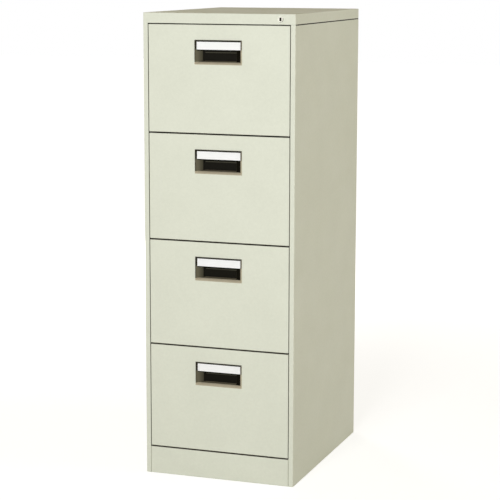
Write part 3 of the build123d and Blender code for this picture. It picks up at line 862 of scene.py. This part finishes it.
lock_low, lock_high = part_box("lock_plug")
lock_middle = (lock_low + lock_high) / 2
x, _, z = object_axes(tree)
across = math_node(tree, "SUBTRACT", x, lock_middle.x)
upward = math_node(tree, "SUBTRACT", z, lock_middle.z)
squares = math_node(
    tree, "ADD", math_node(tree, "POWER", across, 2.0), math_node(tree, "POWER", upward, 2.0)
)
radius = math_node(tree, "SQRT", squares)
turns = math_node(tree, "MULTIPLY", radius, math.tau / RING_PITCH)
add_bump(tree, shader, math_node(tree, "SINE", turns), RING_DEPTH)
print("lock axis at", [round(v, 4) for v in lock_middle])

# %% Keyhole, plug and painted shadow
KEYHOLE_HALF = (0.0026, 0.0048)
PLUG_RADIUS = 0.0058
BEVEL_RADIUS = 0.0073
SHADOW_START = 0.0045
PLUG_METAL = linear(196, 194, 180)
LOCK_SHADOW = linear(96, 92, 80)
KEYHOLE_SHADE = linear(24, 22, 18)

plug_face = math_node(tree, "LESS_THAN", radius, PLUG_RADIUS)
# Painted shadow: the low right of the bevel is darker.
low_right = math_node(
    tree, "GREATER_THAN", math_node(tree, "SUBTRACT", across, upward), SHADOW_START
)
ring_shadow = both(tree, math_node(tree, "GREATER_THAN", radius, BEVEL_RADIUS), low_right)
# Painted shade: the keyhole slot, and a little rim around it, are dark.
keyhole = both(
    tree,
    between(tree, across, -KEYHOLE_HALF[0], KEYHOLE_HALF[0]),
    between(tree, upward, -KEYHOLE_HALF[1], KEYHOLE_HALF[1]),
)
lock_colour = mix_colours(tree, plug_face, polished, PLUG_METAL)
lock_colour = mix_colours(tree, ring_shadow, lock_colour, LOCK_SHADOW)
lock_colour = mix_colours(tree, keyhole, lock_colour, KEYHOLE_SHADE)
tree.links.new(lock_colour, shader.inputs["Base Color"])
print("lock chrome has", len(tree.nodes), "nodes")

# %% [markdown]
# ## Nylon
#
# The rollers, pads, rests and bar guides are natural nylon: a milky plastic that lets a
# little light in, so it gets some subsurface scattering besides the recipe.

# %% Nylon materials
NYLON_GRAIN_DEPTH = 0.00002
NYLON_GLOW_THROUGH = 0.2
NYLON_GLOW_REACH = 0.002

for name, light, dark in (
    ("slide_nylon", linear(228, 225, 212), linear(214, 210, 195)),
    ("roller_nylon", linear(238, 236, 226), linear(226, 223, 211)),
):
    finishes[name] = make_finish(
        name,
        {
            "Light_Colour": light,
            "Dark_Colour": dark,
            "Wide_Scale": 50.0,
            "Fine_Scale": 500.0,
            "Fine_Share": 0.4,
        },
        {"Shiny": 0.35, "Dull": 0.55, "Smudge_Scale": 60.0, "Wipe_Scale": 150.0},
        {"Swell_Scale": 1800.0, "Grain_Scale": 5000.0, "Grain_Share": 0.5},
        NYLON_GRAIN_DEPTH,
        Subsurface_Weight=NYLON_GLOW_THROUGH,
        Subsurface_Scale=NYLON_GLOW_REACH,
    )[0]
print("light goes", round(NYLON_GLOW_REACH * 1000), "mm into the nylon")

# %% [markdown]
# ## Dress the pieces
#
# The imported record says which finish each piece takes. The material goes into the
# object's own slot, so the piece's mesh is left as it came.

# %% Assign the finishes
for subpart in frame["record"]["subparts"]:
    piece = nodes[subpart["node"]]
    for piece_slot in piece.material_slots:
        piece_slot.link = "OBJECT"
        piece_slot.material = finishes[subpart["material_slot"]]

# %% [markdown]
# ## Floor and surroundings
#
# The photograph has a plain white ground. The floor is pale, and what the camera sees
# of it, straight or mirrored in metal, also glows a little, so that it reaches white
# where no shadow lies. Near the cabinet, where the lamps are close, it glows less, and the
# soft shadow at the foot of the case stays. The world does the same: it shows white, but
# lights the cabinet with a lower, warmer level.

# %% Seen by the camera or in a mirror
WHITE = (1.0, 1.0, 1.0, 1.0)


def seen_directly(tree):
    """1 for camera, glossy and transmission rays, and 0 for the light that spreads."""
    path = tree.nodes.new("ShaderNodeLightPath").outputs
    seen = math_node(tree, "ADD", path["Is Camera Ray"], path["Is Glossy Ray"])
    seen = math_node(tree, "ADD", seen, path["Is Transmission Ray"])
    return math_node(tree, "MINIMUM", seen, 1.0)


print("what is seen directly is shown as", WHITE[:3], "where no shadow lies")

# %% Floor mesh
FLOOR_SIZE = 40.0
FLOOR_CELLS = 8

mesh = bmesh.new()
bmesh.ops.create_grid(
    mesh, x_segments=FLOOR_CELLS, y_segments=FLOOR_CELLS, size=FLOOR_SIZE / 2
)
floor_mesh = bpy.data.meshes.new("floor")
mesh.to_mesh(floor_mesh)
mesh.free()
floor = bpy.data.objects.new("floor", floor_mesh)
bpy.context.scene.collection.objects.link(floor)
print("floor of", FLOOR_SIZE, "m with", len(floor_mesh.polygons), "faces")

# %% Floor material
NEAR_GLOW = 0.61
FAR_GLOW = 0.84
NEAR_REACH = 0.8
FAR_REACH = 4.0

material, tree, shader = start_material(
    "floor", Base_Color=linear(200, 200, 198), Roughness=0.9, Emission_Color=WHITE
)
x, y, _ = object_axes(tree)
away = math_node(tree, "SQRT", math_node(tree, "ADD", both(tree, x, x), both(tree, y, y)))
far = fade(tree, away, NEAR_REACH, FAR_REACH)
level = math_node(tree, "MULTIPLY_ADD", far, FAR_GLOW - NEAR_GLOW, NEAR_GLOW)
glow = math_node(tree, "MULTIPLY", seen_directly(tree), level)
tree.links.new(glow, shader.inputs["Emission Strength"])
floor_mesh.materials.append(material)
print("the floor glows", NEAR_GLOW, "near the cabinet and", FAR_GLOW, "far away")

# %% World
WORLD_LEVEL = 0.33
WORLD_COLOUR = (1.0, 0.91, 0.75, 1.0)

world = bpy.data.worlds.new("studio")
bpy.context.scene.world = world
world.use_nodes = True
tree = world.node_tree
tree.nodes.clear()
output = tree.nodes.new("ShaderNodeOutputWorld")
spread_light = add_node(
    tree, "ShaderNodeBackground", "light on the object", Color=WORLD_COLOUR, Strength=WORLD_LEVEL
)
shown = add_node(tree, "ShaderNodeBackground", "what is seen", Color=WHITE, Strength=1.0)
choice = tree.nodes.new("ShaderNodeMixShader")
tree.links.new(seen_directly(tree), choice.inputs["Fac"])
tree.links.new(spread_light.outputs[0], choice.inputs[1])
tree.links.new(shown.outputs[0], choice.inputs[2])
tree.links.new(choice.outputs[0], output.inputs["Surface"])
print("the world lights the cabinet with", WORLD_LEVEL, "and shows white")

# %% [markdown]
# ## Lamps
#
# The front is the brightest side, as bright on its left as on its right, and it fades by a
# tenth towards the floor. So the main lamp is a large soft panel straight in front, a
# little above the case, and well away from where the flat front would mirror it to the
# camera. A weaker, warmer panel on the right lifts the side; it is tilted up, so the side
# fades towards the floor too. Nothing shines down from above, which is why the top is the
# darkest face in the photograph. A third panel stands behind on the left, lower than the
# top, so that the sides the photograph doesn't show are lit as well.

# %% Soft panels
def add_panel(name, place, target, size, power, colour):
    """A square area lamp of that size and power that looks at a point."""
    data = bpy.data.lights.new(name, "AREA")
    data.shape = "SQUARE"
    data.size = size
    data.energy = power
    data.color = colour
    lamp = bpy.data.objects.new(name, data)
    bpy.context.scene.collection.objects.link(lamp)
    lamp.location = place
    lamp.rotation_euler = (Vector(target) - Vector(place)).to_track_quat("-Z", "Y").to_euler()


add_panel(
    "key_panel",
    place=(0.3, -3.9, 1.75),
    target=(0.0, -0.3, 0.95),
    size=1.2,
    power=90.5,
    colour=(0.95, 0.98, 1.04),
)
add_panel(
    "side_panel",
    place=(3.6, 0.1, 1.3),
    target=(0.2, 0.1, 2.6),
    size=1.0,
    power=38.0,
    colour=(1.0, 0.98, 0.93),
)
add_panel(
    "back_panel",
    place=(-2.6, 3.2, 0.9),
    target=(-0.1, 0.2, 0.7),
    size=1.2,
    power=60.0,
    colour=(1.0, 0.98, 0.95),
)
bpy.context.scene.view_settings.view_transform = "Standard"
print("lamps", {light.name: light.energy for light in bpy.data.lights})
